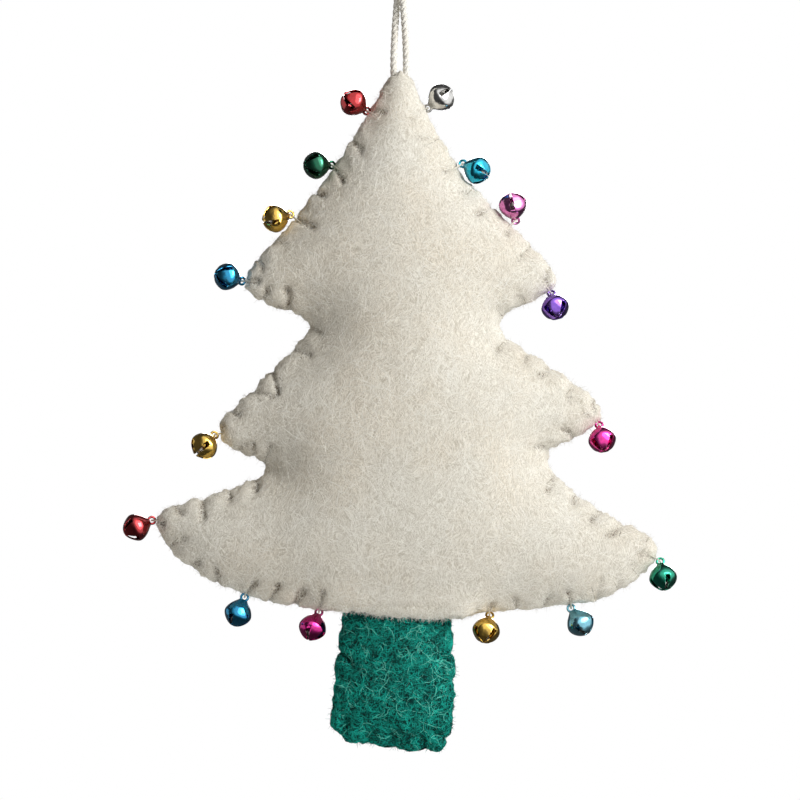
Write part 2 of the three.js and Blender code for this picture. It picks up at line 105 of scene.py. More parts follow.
def coordsOf(mesh):
    found = np.empty(len(mesh.vertices) * 3)
    mesh.vertices.foreach_get("co", found)
    return found.reshape(-1, 3)


def setCoords(mesh, places):
    mesh.vertices.foreach_set("co", np.ascontiguousarray(places).ravel())
    mesh.update()


def normalsOf(mesh):
    found = np.empty(len(mesh.vertices) * 3)
    mesh.vertex_normals.foreach_get("vector", found)
    return found.reshape(-1, 3)


def rodSection(radius, sides):
    section = bpy.data.curves.new("section", "CURVE")
    section.dimensions = "2D"
    ring = section.splines.new("POLY")
    ring.points.add(sides - 1)
    for side, point in enumerate(ring.points):
        angle = 2 * math.pi * side / sides
        point.co = (radius * math.cos(angle), radius * math.sin(angle), 0, 1)
    ring.use_cyclic_u = True
    holder = bpy.data.objects.new("section", section)
    scene.collection.objects.link(holder)
    return holder


def roundRod(name, lines, radius, sides, *finishes):
    # one curve of many lines, each with its points, their widths and a finish number, made a mesh
    section = rodSection(radius, sides)
    shape = bpy.data.curves.new(name, "CURVE")
    shape.dimensions = "3D"
    shape.bevel_mode = "OBJECT"
    shape.bevel_object = section
    shape.use_fill_caps = True
    for finish in finishes:
        shape.materials.append(finish)
    for points, widths, number in lines:
        line = shape.splines.new("POLY")
        line.points.add(len(points) - 1)
        line.points.foreach_set("co", [value for point in points for value in (*point, 1)])
        line.points.foreach_set("radius", widths)
        line.material_index = number
        line.use_smooth = True
    holder = bpy.data.objects.new(name, shape)
    scene.collection.objects.link(holder)
    mesh = bpy.data.meshes.new_from_object(holder.evaluated_get(bpy.context.evaluated_depsgraph_get()))
    for used in (holder, section):
        outline = used.data
        bpy.data.objects.remove(used)
        bpy.data.curves.remove(outline)
    mesh.name = name
    bm = bmesh.new()
    bm.from_mesh(mesh)
    bmesh.ops.remove_doubles(bm, verts=bm.verts, dist=1e-7)  # closes the ends
    bmesh.ops.recalc_face_normals(bm, faces=bm.faces)
    bm.to_mesh(mesh)
    bm.free()
    mesh.shade_smooth()
    return newPiece(name, mesh)


# material nodes
def startFinish(name):
    finish = bpy.data.materials.new(name)
    finish.use_nodes = True
    tree = finish.node_tree
    return finish, tree, tree.nodes["Principled BSDF"]


def addNode(tree, kind, **settings):
    node = tree.nodes.new(kind)
    for key, value in settings.items():
        if key in node.inputs:
            node.inputs[key].default_value = value
        else:
            setattr(node, key, value)
    return node


def noiseOn(tree, place, scale, detail, rough=0.6, distortion=0.0):
    texture = addNode(tree, "ShaderNodeTexNoise", Scale=scale, Detail=detail, Roughness=rough, Distortion=distortion)
    tree.links.new(place, texture.inputs["Vector"])
    return texture.outputs["Fac"]


def rampOn(tree, value, *stops):
    ramp = addNode(tree, "ShaderNodeValToRGB")
    tree.links.new(value, ramp.inputs["Fac"])
    while len(ramp.color_ramp.elements) < len(stops):
        ramp.color_ramp.elements.new(0.5)
    for element, (position, colour) in zip(ramp.color_ramp.elements, stops):
        element.position = position
        element.color = (*colour, 1) if len(colour) == 3 else (colour[0],) * 3 + (1,)
    return ramp.outputs["Color"]


def mixOn(tree, share, first, second, way="MIX"):
    mix = addNode(tree, "ShaderNodeMix", data_type="RGBA", blend_type=way)
    for value, socket in ((share, mix.inputs[0]), (first, mix.inputs[6]), (second, mix.inputs[7])):
        if isinstance(value, bpy.types.NodeSocket):
            tree.links.new(value, socket)
        else:
            socket.default_value = value if isinstance(value, float) else (*value, 1)
    return mix.outputs[2]


def bumpOn(tree, shader, height, strength, distance):
    bump = addNode(tree, "ShaderNodeBump", Strength=strength, Distance=distance)
    tree.links.new(height, bump.inputs["Height"])
    tree.links.new(bump.outputs["Normal"], shader.inputs["Normal"])


def streaksOn(tree, place, look, angle):  # fine fibres that wander off one direction
    wander = addNode(tree, "ShaderNodeTexNoise", Scale=look["wanderScale"], Detail=1)
    tree.links.new(place, wander.inputs["Vector"])
    shifted = addNode(tree, "ShaderNodeVectorMath", operation="MULTIPLY_ADD")
    shifted.inputs[1].default_value = (look["wander"],) * 3
    tree.links.new(wander.outputs["Color"], shifted.inputs[0])
    tree.links.new(place, shifted.inputs[2])
    turned = addNode(tree, "ShaderNodeMapping", Rotation=(0, math.radians(angle), 0))
    tree.links.new(shifted.outputs["Vector"], turned.inputs["Vector"])
    drawn = addNode(tree, "ShaderNodeMapping", Scale=(1, 1, look["stretch"]))
    tree.links.new(turned.outputs["Vector"], drawn.inputs["Vector"])
    return noiseOn(tree, drawn.outputs["Vector"], look["streakScale"], 2, 0.6)


def sumOf(tree, values):
    total = values[0]
    for value in values[1:]:
        both = addNode(tree, "ShaderNodeMath", operation="ADD")
        tree.links.new(total, both.inputs[0])
        tree.links.new(value, both.inputs[1])
        total = both.outputs["Value"]
    share = addNode(tree, "ShaderNodeMath", operation="DIVIDE")
    share.inputs[1].default_value = len(values)
    tree.links.new(total, share.inputs[0])
    return share.outputs["Value"]


stitchShadeLook = {"scale": 1500, "range": (0.45, 0.58), "least": 0.04}  # painted shade in the stitch holes and grooves, broken into brown specks


def woolFinish(name, look):
    finish, tree, shader = startFinish(name)
    place = addNode(tree, "ShaderNodeTexCoord").outputs["Object"]
    grain = noiseOn(tree, place, look["grainScale"], 3, 0.75, 0.6)
    fibres = sumOf(tree, [grain] + [streaksOn(tree, place, look, angle) for angle in look["angles"]])
    colour = rampOn(tree, fibres, (look["range"][0], look["dark"]), (look["range"][1], look["light"]))
    clouds = noiseOn(tree, place, look["cloudScale"], 2)
    cloud = rampOn(tree, clouds, (0.35, (1, 1, 1)), (0.7, look["cloud"]))
    colour = mixOn(tree, 1.0, colour, cloud, "MULTIPLY")
    # painted shade: the felt darkens toward its look's dark stitch colour where the stitches sink it, broken into
    # specks by noise
    sunk = addNode(tree, "ShaderNodeAttribute", attribute_name="stitchShade").outputs["Fac"]
    shadeSpecks = noiseOn(tree, place, stitchShadeLook["scale"], 4, 0.75, 1.5)
    shadeSpecks = rampOn(tree, shadeSpecks, (stitchShadeLook["range"][0], (stitchShadeLook["least"],)), (stitchShadeLook["range"][1], (1,)))
    share = addNode(tree, "ShaderNodeMath", operation="MULTIPLY", use_clamp=True)
    tree.links.new(sunk, share.inputs[0])
    tree.links.new(shadeSpecks, share.inputs[1])
    colour = mixOn(tree, share.outputs["Value"], colour, look["stitchShade"])
    tree.links.new(colour, shader.inputs["Base Color"])
    shader.inputs["Roughness"].default_value = 0.95
    shader.inputs["Specular IOR Level"].default_value = look["shine"]
    shader.inputs["Sheen Weight"].default_value = look["sheen"]
    shader.inputs["Sheen Roughness"].default_value = 0.6
    shader.inputs["Sheen Tint"].default_value = (*look["light"], 1)
    bumpOn(tree, shader, fibres, look["bump"], look["depth"])
    return finish


def strandFinish(name, colour, variety):
    finish, tree, shader = startFinish(name)
    place = addNode(tree, "ShaderNodeTexCoord").outputs["Object"]
    shade = noiseOn(tree, place, 420, 2)
    darker = tuple(value * (1 - variety) for value in colour)
    tree.links.new(rampOn(tree, shade, (0.3, darker), (0.7, colour)), shader.inputs["Base Color"])
    shader.inputs["Roughness"].default_value = 0.75
    shader.inputs["Specular IOR Level"].default_value = 0.1
    return finish


# felt edges seen from the front, mm from the tip: start, then (lean x, lean z, end x, end z)
treeEdges = {
    "left": ((-2.7, -1.5), (
        (-16.2, -26.2, -33.2, -43.4), (-37, -48.4, -30.4, -51.2), (-24.4, -53.6, -21.6, -54.3),
        (-18.2, -55.3, -21.2, -58.6), (-26, -64.6, -38.8, -76.2), (-43.4, -80.8, -37.4, -83.4),
        (-33.6, -85.2, -31, -86.4), (-26.2, -88, -31, -89.8), (-37.2, -93.4, -50.4, -96.2),
        (-57.2, -98, -53, -103.4), (-46.4, -112.6, -31.1, -117.3), (-22.4, -119.4, -13.6, -119.8))),
    "mouth": ((-13.6, -119.8), ((0, -121.8, 12.6, -121.4),)),
    "right": ((12.6, -121.4), (
        (23.4, -119.3, 34.7, -118.9), (46.8, -118.4, 54.6, -110.8), (60.4, -106.4, 55.4, -103),
        (40.4, -96.8, 33.8, -88.6), (30.8, -84.6, 34.4, -83.2), (39.6, -81.6, 43, -78.8),
        (46.8, -76, 43.2, -72.8), (36, -66.8, 24.6, -60), (19.6, -55.6, 23.6, -53.4),
        (29.6, -51, 33, -49), (36.6, -46.6, 33.8, -43.8), (23, -32, 15.2, -24.6), (8.6, -15.6, 2.9, -1.9))),
    "tip": ((2.9, -1.9), ((0.2, 1.9, -2.7, -1.5),)),
}
trunkEdges = {
    "sides": ((-12.5, -122.5), (
        (-13.9, -130, -14.9, -141.6), (-15.5, -147, -10.6, -148.8), (-4, -149.6, 6, -150.5),
        (11, -151.2, 11, -145.7), (12.8, -134, 11.4, -122.8))),
    "top": ((11.4, -122.8), ((11, -118, 10.8, -115.4), (-1, -115, -12.3, -115.4), (-12.3, -118, -12.5, -122.5))),
}
bellShares = {
    "left": (0.043, 0.115, 0.187, 0.278, 0.537, 0.758, 0.894, 0.978),
    "right": (0.036, 0.125, 0.234, 0.479, 0.713, 0.808, 0.894, 0.966),
}
sewing = {
    "pitch": 6.2, "inset": 2.7, "insetSpread": (0.6, 1.6), "pull": (0.25, 1.35), "slant": (-0.6, 0.6),
    "wide": (0.42, 0.8), "tight": {"left": 1.0, "right": 0.55, "trunk": 1.0},
    "thread": 0.4, "holeSunk": 1.6, "lineSunk": 0.75, "seed": 11}


def traceEdge(edge):  # points along an edge and the distance run at each
    start, bends = edge
    points = [Vector(start)]
    for leanX, leanZ, endX, endZ in bends:
        begin, lean, end = points[-1], Vector((leanX, leanZ)), Vector((endX, endZ))
        for step in range(1, 41):
            share = step / 40
            points.append(begin.lerp(lean, share).lerp(lean.lerp(end, share), share))
    run = [0.0]
    for point, ahead in zip(points, points[1:]):
        run.append(run[-1] + (ahead - point).length)
    return points, run


def edgeAt(traced, share):
    points, run = traced
    goal = share * run[-1]
    last = max(1, next((i for i, far in enumerate(run) if far >= goal - 1e-9), len(run) - 1))
    along = (goal - run[last - 1]) / (run[last] - run[last - 1])
    way = (points[last] - points[last - 1]).normalized()
    return points[last - 1].lerp(points[last], along), Vector((way.y, -way.x))


def planStitches(edge, fixed, dice, tight):
    traced = traceEdge(edge)
    stops = [0, *fixed, 1]
    found = []
    for begin, end in zip(stops, stops[1:]):
        parts = max(1, round((end - begin) * traced[1][-1] / sewing["pitch"]))
        for part in range(1, parts + 1):
            share = begin + (end - begin) * part / parts
            if share > 0.9999:
                continue
            point, out = edgeAt(traced, share)
            found.append({
                "point": point, "out": out, "bell": any(abs(share - mark) < 1e-6 for mark in fixed),
                "inset": sewing["inset"] * dice.uniform(*sewing["insetSpread"]),
                "pull": tight * dice.uniform(*sewing["pull"]),
                "slant": dice.uniform(*sewing["slant"]), "wide": dice.uniform(*sewing["wide"])})
    return found


dice = random.Random(sewing["seed"])
stitches = {}
for side, shares in bellShares.items():
    stitches[side] = planStitches(treeEdges[side], shares, dice, sewing["tight"][side])
stitches["trunk"] = planStitches(trunkEdges["sides"], (), dice, sewing["tight"]["trunk"])
print("stitches:", {side: len(found) for side, found in stitches.items()})


# stuffed felt: a cut shape is swelled by cloth pressure, then drawn in by its stitches
treeLook = {
    "name": "treeFelt", "voxel": 1.7, "halfEdge": 2.3, "crown": 13, "roundness": 16, "start": 0.9,
    "pressure": 0.2, "tension": 40, "cap": 2.0, "groove": 0.5, "dimple": 0.42, "puff": 0.5, "lumps": 0.13,
    "ragged": 0.72, "seam": 0.5}
trunkLook = {
    "name": "trunkFelt", "voxel": 1.0, "halfEdge": 2.3, "crown": 3.5, "roundness": 8, "start": 0.9,
    "pressure": 0.2, "tension": 40, "cap": 0.8, "groove": 0.6, "dimple": 0.5, "puff": 0.45, "lumps": 0.55,
    "ragged": 0.5, "seam": 0.4}
layer = {"thick": 2, "gap": 0.3}  # one felt layer, and the least room between the two
pocket = {  # where the trunk goes up between the layers
    "middle": -0.55, "half": 12.0, "top": -115.2, "room": 4.5, "ease": 8.0, "margin": 2, "thinner": 2.6, "fade": 4,
    "lip": -118.6, "lift": 6.4}
tails = {"room": 0.95, "ease": 8.0}  # room in the tip for the cord's two ends


def easeIn(values):
    held = np.clip(values, 0, 1)
    return held * held * (3 - 2 * held)


def feltDepth(plan, rim, steps):  # distance in from the edge, evened out over bends
    found = np.empty(len(plan))
    for begin in range(0, len(plan), 2000):
        part = plan[begin:begin + 2000]
        gap = np.maximum(np.linalg.norm(part[:, None] - rim[None], axis=2), 0.5)
        found[begin:begin + 2000] = np.sqrt(2 / (steps / gap ** 3).sum(1))
    return found


def feltHeight(plan, depth, look, spread):
    rise = look["crown"] * (1 - np.exp(-depth / look["roundness"])) + layer["gap"]
    if spread:
        aside = np.maximum(0, abs(plan[:, 0] - pocket["middle"]) - pocket["half"] - pocket["margin"])
        above = np.maximum(0, plan[:, 1] - pocket["top"] - pocket["margin"])
        share = easeIn(1 - np.hypot(aside, above) / pocket["ease"])
        rise = rise + np.maximum(0, pocket["room"] - rise) * share
        share = easeIn(1.5 - np.hypot(plan[:, 0], plan[:, 1]) / tails["ease"])
        rise = rise + np.maximum(0, tails["room"] - rise) * share
    return rise + layer["thick"]


def cutFelt(look, edges):
    bm = bmesh.new()
    corners = []
    for edge in edges.values():
        traced = traceEdge(edge)
        parts = math.ceil(traced[1][-1] / 1.2)
        for part in range(parts):
            point = edgeAt(traced, part / parts)[0]
            corners.append(bm.verts.new((point.x, -look["halfEdge"], point.y)))
    face = bm.faces.new(corners)
    raised = bmesh.ops.extrude_face_region(bm, geom=[face])["geom"]
    bmesh.ops.translate(bm, verts=[v for v in raised if isinstance(v, bmesh.types.BMVert)],
                        vec=(0, 2 * look["halfEdge"], 0))
    bmesh.ops.recalc_face_normals(bm, faces=bm.faces)
    felt = newPiece(look["name"], meshOf(look["name"], bm))
    grid = felt.modifiers.new("evenGrid", "REMESH")
    grid.mode = "VOXEL"
    grid.voxel_size = look["voxel"]
    bake(felt)
    return felt


def swell(felt, look, held):  # cloth pressure in millimetre units, stitched rim held
    group = felt.vertex_groups.new(name="sewn")
    for index, weight in enumerate(held):
        if weight > 0.01:
            group.add([index], float(weight), "REPLACE")
    cloth = felt.modifiers.new("stuffing", "CLOTH")
    cloth.settings.vertex_group_mass = "sewn"
    cloth.settings.use_pressure = True
    cloth.settings.uniform_pressure_force = look["pressure"]
    cloth.settings.tension_stiffness = look["tension"]
    cloth.settings.compression_stiffness = look["tension"]
    cloth.settings.shear_stiffness = look["tension"] / 2
    cloth.settings.bending_stiffness = 1
    cloth.settings.air_damping = 5
    cloth.settings.effector_weights.gravity = 0
    cloth.settings.quality = 10
    cloth.collision_settings.use_collision = False
    cloth.point_cache.frame_start = 1
    cloth.point_cache.frame_end = 20
    calm = felt.modifiers.new("calm", "SMOOTH")
    calm.factor = 0.5
    calm.iterations = 10
    calm.vertex_group = "sewn"
    calm.invert_vertex_group = True
    before = coordsOf(felt.data)
    for moment in range(1, 21):
        scene.frame_set(moment)
    bake(felt)
    scene.frame_set(1)
    moved = coordsOf(felt.data) - before
    length = np.linalg.norm(moved, axis=1, keepdims=True)
    eased = look["cap"] * (1 - np.exp(-length / look["cap"]))
    setCoords(felt.data, before + moved * eased / np.maximum(length, 1e-9))
    print(look["name"], "swelled by", round(float(length.mean()), 2), "mm, at most", round(float(length.max()), 2))


stitchLook = {  # how one stitch draws the felt in, mm
    "near": 8, "over": 0.9, "fade": 1.2, "hole": 0.95, "bandIn": 1.6, "bandWide": 1.5, "besideAt": 3.1,
    # the last number weighs the painted shade along a stitch line against that in its hole
    "besideWide": 1.5, "atBell": -0.25, "lineShade": 1.1}


def drawIn(felt, look, sewn):  # scalloped rim, stitch grooves and holes, and a mask of painted shade that darkens the felt in them
    places = coordsOf(felt.data)
    normals = normalsOf(felt.data)
    plan = places[:, [0, 2]]
    move = np.zeros_like(places)
    stitchShade = np.zeros(len(places))
    for stitch in sewn:
        point, out = np.array(stitch["point"]), np.array(stitch["out"])
        near = np.flatnonzero(np.abs(plan - point).max(1) < stitchLook["near"])
        away = plan[near] - point
        deep = away @ out  # below zero inside the felt
        side = away @ np.array((-out[1], out[0])) - stitch["slant"] * deep
        line = np.exp(-(side / stitch["wide"]) ** 2)
        line = line * easeIn((deep + stitch["inset"] + stitchLook["over"]) / stitchLook["fade"])
        hole = np.exp(-((deep + stitch["inset"]) ** 2 + side ** 2) / stitchLook["hole"] ** 2)
        band = np.exp(-((deep + stitchLook["bandIn"]) / stitchLook["bandWide"]) ** 2)
        swellUp = band * np.exp(-((np.abs(side) - stitchLook["besideAt"]) / stitchLook["besideWide"]) ** 2)
        pull = look["groove"] * line + look["dimple"] * hole
        rise = stitchLook["atBell"] if stitch["bell"] else 0.5 * look["puff"]  # flat beside a bell
        sink = stitch["pull"] * pull - rise * swellUp
        move[near] -= normals[near] * sink[:, None]
        # mask of painted shade, strongest in the stitch holes and along the stitch lines
        stitchShade[near] = np.maximum(stitchShade[near], stitch["pull"] * (hole + stitchLook["lineShade"] * line))
    return move, np.clip(stitchShade, 0, 1)


def lumpsOn(places, normals, size, seed):
    shift = Vector((seed * 13.7, seed * 5.1, seed * 9.3))
    rise = np.empty(len(places))
    for index, place in enumerate(places):
        spot = Vector(place)
        rise[index] = (noise.noise(spot / 9 + shift) + 0.3 * noise.noise(spot / 3.2 + shift)
                       + 0.1 * noise.noise(spot / 1.3 + shift))
    return normals * (size * rise)[:, None]


bellRoom = {"drop": 4.0, "radius": 3.55, "soft": 0.25, "near": 10, "stops": 40}
rimLook = {"held": 3.2, "letGo": 1.4, "finer": 5.5, "seamWide": 0.55}


def clearBells(places):  # the edge gives way wherever a bell can swing
    for body, (low, high) in swings.items():
        if body == "tree":
            continue
        tip = Vector((0, 0, feltTip))
        eye = hinges[body] / mm - tip
        lowest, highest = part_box(body + "_shell")
        middle = (lowest + highest) / 2 / mm - tip
        arm = (middle - eye).normalized() * bellRoom["drop"]
        arc = []
        for stop in range(bellRoom["stops"] + 1):
            angle = math.radians(low + (high - low) * stop / bellRoom["stops"])
            arc.append(eye + Matrix.Rotation(angle, 3, "Y") @ arm)
        arc = np.array(arc)
        near = np.flatnonzero(np.linalg.norm(places - np.array(eye), axis=1) < bellRoom["near"])
        gaps = np.linalg.norm(places[near, None] - arc[None], axis=2)
        nearest = arc[gaps.argmin(1)]
        gap = gaps.min(1)
        beyond = (gap - bellRoom["radius"]) / bellRoom["soft"]
        wanted = bellRoom["radius"] + bellRoom["soft"] * np.logaddexp(0, beyond)
        places[near] = nearest + (places[near] - nearest) * (wanted / gap)[:, None]
    return places


def makeFelt(look, edges, sewn, spread, seed):
    felt = cutFelt(look, edges)
    rim = []
    steps = []
    for edge in edges.values():
        points, run = traceEdge(edge)
        parts = math.ceil(run[-1])
        rim += [edgeAt((points, run), part / parts)[0] for part in range(parts)]
        steps += [run[-1] / parts] * parts
    rim, steps = np.array(rim), np.array(steps)
    places = coordsOf(felt.data)
    plan = places[:, [0, 2]]
    depth = feltDepth(plan, rim, steps)
    full = feltHeight(plan, depth, look, spread)
    share = np.clip(places[:, 1] / look["halfEdge"], -1, 1)
    edge = feltHeight(plan, depth * 0, look, spread)
    places[:, 1] = share * (edge + look["start"] * (full - edge))
    setCoords(felt.data, places)
    swell(felt, look, easeIn((rimLook["held"] - depth) / rimLook["letGo"]))
    finer = felt.modifiers.new("finer", "SUBSURF")
    finer.levels = finer.render_levels = 2
    bake(felt)
    move, stitchShade = drawIn(felt, look, sewn)
    places = coordsOf(felt.data)
    normals = normalsOf(felt.data)
    move += lumpsOn(places, normals, look["lumps"], seed)
    rimShare = np.clip(1.2 - np.abs(normals[:, 1]) * 1.4, 0, 1)[:, None]  # more ragged where it was cut
    move += rimShare * lumpsOn(places * rimLook["finer"], normals, look["ragged"], seed + 5)
    onSide = np.clip(1 - np.abs(normals[:, 1]) * 1.5, 0, 1)  # join of the two layers
    move -= normals * (look["seam"] * onSide * np.exp(-(places[:, 1] / rimLook["seamWide"]) ** 2))[:, None]
    if spread:  # room in the lower edge for the top of the trunk
        within = pocket["half"] - np.abs(places[:, 0] - pocket["middle"])
        aside = easeIn((within + 1.0) / 1.2)
        thin = pocket["thinner"] * np.exp(-np.maximum(within, 0) / pocket["fade"])
        lens = pocket["room"] - thin  # the trunk is thinner toward its own edges
        inside = easeIn(lens + 0.6 - np.abs(places[:, 1]))
        below = easeIn((pocket["lip"] - places[:, 2]) / 1.2) * easeIn(-normals[:, 2] * 2)
        move[:, 2] += pocket["lift"] * aside * inside * below
    setCoords(felt.data, clearBells(places + move) if spread else places + move)
    # the mask of painted shade in the stitch holes and grooves goes to the felt's finish
    mark = felt.data.attributes.new("stitchShade", "FLOAT", "POINT")
    mark.data.foreach_set("value", stitchShade)
    felt.data.transform(Matrix.Translation((0, 0, feltTip * mm)) @ Matrix.Scale(mm, 4))
    felt.data.shade_smooth()
    print(look["name"], "faces:", len(felt.data.polygons))
    return felt


# in each look below, the dark colour for the stitch holes and grooves is painted shade
creamWool = woolFinish("creamWool", {
    "grainScale": 3800, "streakScale": 4600, "stretch": 0.07, "angles": (15, -30), "wanderScale": 170,
    "wander": 0.006, "range": (0.42, 0.58), "dark": (0.535, 0.498, 0.418), "light": (0.865, 0.845, 0.77),
    "cloudScale": 60, "cloud": (0.985, 0.95, 0.91), "stitchShade": (0.115, 0.08, 0.05), "shine": 0.1, "sheen": 0.15,
    "bump": 0.7, "depth": 0.0002})
tealWool = woolFinish("tealWool", {
    "grainScale": 1300, "streakScale": 1700, "stretch": 0.12, "angles": (15, -40), "wanderScale": 130,
    "wander": 0.008, "range": (0.4, 0.6), "dark": (0.0, 0.036, 0.034), "light": (0.003, 0.17, 0.142),
    "cloudScale": 110, "cloud": (0.72, 0.78, 0.8), "stitchShade": (0.0, 0.02, 0.018), "shine": 0.04, "sheen": 0.05,
    "bump": 0.9, "depth": 0.0008})

treeFelt = makeFelt(treeLook, treeEdges, stitches["left"] + stitches["right"], True, 1)
treeFelt.data.materials.append(creamWool)
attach(treeFelt, "tree")
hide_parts("front_panel", "back_panel", "filling")

trunkFelt = makeFelt(trunkLook, trunkEdges, stitches["trunk"], False, 2)
trunkFelt.data.materials.append(tealWool)
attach(trunkFelt, "tree")
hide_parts("trunk_front", "trunk_back", "trunk_filling")
print("felt done")


# hanging cord, three strands twisted together
cordLook = {"diameter": 1.6, "strand": 0.43, "off": 0.39, "pitch": 4.4, "step": 0.55}
cordFoot = 60.4  # where the cord leaves the felt, mm below the hook
cordHalf = (  # one leg, up from inside the tip to the top of the eye
    (1.4, 0, -2.6), (1.4, 0, 0), (1.38, -0.05, 2.5), (1.28, -0.2, 5.5), (1.05, -0.45, 9.5), (0.75, -0.68, 13.5),
    (0.55, -0.78, 17.5), (0.5, -0.8, 23), (0.5, -0.8, 30), (0.55, -0.78, 36.5), (0.8, -0.66, 41.5),
    (1.25, -0.42, 45.8), (1.9, -0.18, 49.8), (2.85, -0.04, 53.8), (3.55, 0, 57.6), (2.55, 0, 60.15), (0, 0, 61.2))
cordRoute = [Vector((x, y, z - cordFoot)) for x, y, z in cordHalf]
cordRoute += [Vector((-point.x, -point.y, point.z)) for point in cordRoute[-2::-1]]


def smoothRoute(points, step):
    ends = [2 * points[0] - points[1], *points, 2 * points[-1] - points[-2]]
    dense = []
    for a, b, c, d in zip(ends, ends[1:], ends[2:], ends[3:]):
        for part in range(20):
            t = part / 20
            dense.append(0.5 * (2 * b + (c - a) * t + (2 * a - 5 * b + 4 * c - d) * t * t
                                + (3 * b - a - 3 * c + d) * t ** 3))
    dense.append(points[-1].copy())
    even = [dense[0]]
    for point in dense[1:]:
        while (point - even[-1]).length >= step:
            even.append(even[-1] + (point - even[-1]).normalized() * step)
    return even


def twist(route, look):
    lines = []
    for strand in range(3):
        points = []
        for index, point in enumerate(route):
            ahead = route[min(index + 1, len(route) - 1)] - route[max(index - 1, 0)]
            across = Vector((ahead.z, 0, -ahead.x)).normalized()
            angle = 2 * math.pi * (index * look["step"] / look["pitch"] + strand / 3)
            away = across * math.cos(angle) + Vector((0, 1, 0)) * math.sin(angle)
            points.append((point + away * look["off"]) * mm)
        lines.append((points, [1.0] * len(points), 0))
    return lines


def cottonFinish():
    finish, tree, shader = startFinish("creamCotton")
    place = addNode(tree, "ShaderNodeTexCoord").outputs["Object"]
    stretch = addNode(tree, "ShaderNodeMapping", Scale=(1, 1, 0.35))
    tree.links.new(place, stretch.inputs["Vector"])
    yarn = noiseOn(tree, stretch.outputs["Vector"], 2200, 4, 0.65, 0.8)
    patches = noiseOn(tree, place, 160, 2)
    colour = rampOn(tree, yarn, (0.32, (0.68, 0.66, 0.6)), (0.6, (0.88, 0.87, 0.825)))
    patch = rampOn(tree, patches, (0.35, (1, 1, 1)), (0.75, (0.94, 0.91, 0.87)))
    colour = mixOn(tree, 1.0, colour, patch, "MULTIPLY")
    tree.links.new(colour, shader.inputs["Base Color"])
    shader.inputs["Roughness"].default_value = 0.9
    shader.inputs["Specular IOR Level"].default_value = 0.2
    shader.inputs["Sheen Weight"].default_value = 0.2
    bumpOn(tree, shader, yarn, 0.6, 0.0002)
    return finish


creamCotton = cottonFinish()
cordPath = smoothRoute(cordRoute, cordLook["step"])
hangingCord = roundRod("hangingCord", twist(cordPath, cordLook), cordLook["strand"] * mm, 10, creamCotton)
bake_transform(hangingCord)
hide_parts("hanging_loop")

# the two tails knotted inside the tip
knotLook = {"drop": -68.1, "wide": 1.75, "deep": 1.05, "tall": 0.85, "strand": 0.4}
knotLine = []
for step in range(49):
    turn = 2 * math.pi * step / 48
    knotLine.append(Vector((
        knotLook["wide"] * (0.62 * math.sin(turn) + 0.55 * math.sin(2 * turn)),
        knotLook["deep"] * 0.9 * math.sin(3 * turn),
        knotLook["drop"] + knotLook["tall"] * (0.62 * math.cos(turn) - 0.55 * math.cos(2 * turn)))) * mm)
tailLines = [([Vector((side * 1.4, 0, -63.2)) * mm, Vector((side * 1.35, 0, -65.2)) * mm,
               Vector((side * 0.9, 0, knotLook["drop"] + 0.4)) * mm], [1.6, 1.6, 1.5], 0) for side in (-1, 1)]
cordKnot = roundRod("cordKnot", [(knotLine, [1.4] * 49, 0), *tailLines], knotLook["strand"] * mm, 8, creamCotton)
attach(cordKnot, "tree")
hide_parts("loop_knot")


# whip stitches over the edges, sunk in the felt
def stitchLine(stitch, tree, radius, eye):
    point, out = stitch["point"], stitch["out"]
    hole = point - out * stitch["inset"]
    line = []
    for side in (-1, 1):
        half = []
        for step in range(5):
            plan = hole.lerp(point - out * 0.4, step / 4)
            start = Vector((plan.x, side * 40, plan.y + feltTip)) * mm
            spot, normal = tree.ray_cast(start, Vector((0, -side, 0)))[:2]
            if spot is None:
                continue
            sunk = sewing["holeSunk"] if step == 0 else sewing["lineSunk"]
            half.append(spot + normal * radius * -sunk)
        line.append(half)
    front, back = line[0], line[1][::-1]
    if eye is not None:  # the thread reaches out through a bell's eye
        middle = [eye + Vector((0, y, 0)) * mm for y in (-1.3, -0.45, 0.45, 1.3)]
        return front[:3] + middle + back[2:]
    middle = []
    for y in (-1.3, 0, 1.3):
        far = Vector((point.x + out.x * 4, y, point.y + out.y * 4 + feltTip)) * mm
        spot, normal = tree.ray_cast(far, Vector((-out.x, 0, -out.y)))[:2]
        if spot is not None:
            middle.append(spot - normal * radius * 0.5)
    return front + middle + back


def sewEdge(name, felt, sewn, eyes, finishes):
    tree = BVHTree.FromObject(felt, bpy.context.evaluated_depsgraph_get())
    radius = sewing["thread"] / 2 * mm
    waiting = list(eyes)
    lines = []
    for stitch in sewn:
        eye = waiting.pop(0) if stitch["bell"] else None
        points = stitchLine(stitch, tree, radius, eye)
        lines.append((points, [1.0] * len(points), 0 if stitch["bell"] else 1))
    piece = roundRod(name, lines, radius, 6, *finishes)
    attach(piece, "tree")
    return piece


creamThreads = [strandFinish("creamThread", (0.74, 0.7, 0.6), 0.3),
                # the second cream thread, used away from the bells, is darkened as painted shade of the crease it
                # lies in
                strandFinish("creaseShadeThread", (0.5, 0.455, 0.37), 0.5)]
tealThreads = [strandFinish("tealThread", (0.01, 0.2, 0.15), 0.5),
               strandFinish("deepTealThread", (0.004, 0.12, 0.095), 0.5)]
leftBells = [f"bell_{number:02d}" for number in range(1, 9)]
rightBells = [f"bell_{number:02d}" for number in range(9, 17)]
leftEyes = [hinges[bell] for bell in leftBells]
rightEyes = [hinges[bell] for bell in rightBells]
leftThread = sewEdge("leftThread", treeFelt, stitches["left"], leftEyes, creamThreads)
rightThread = sewEdge("rightThread", treeFelt, stitches["right"], rightEyes, creamThreads)
trunkThread = sewEdge("trunkThread", trunkFelt, stitches["trunk"], [], tealThreads)
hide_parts("edge_thread_left")
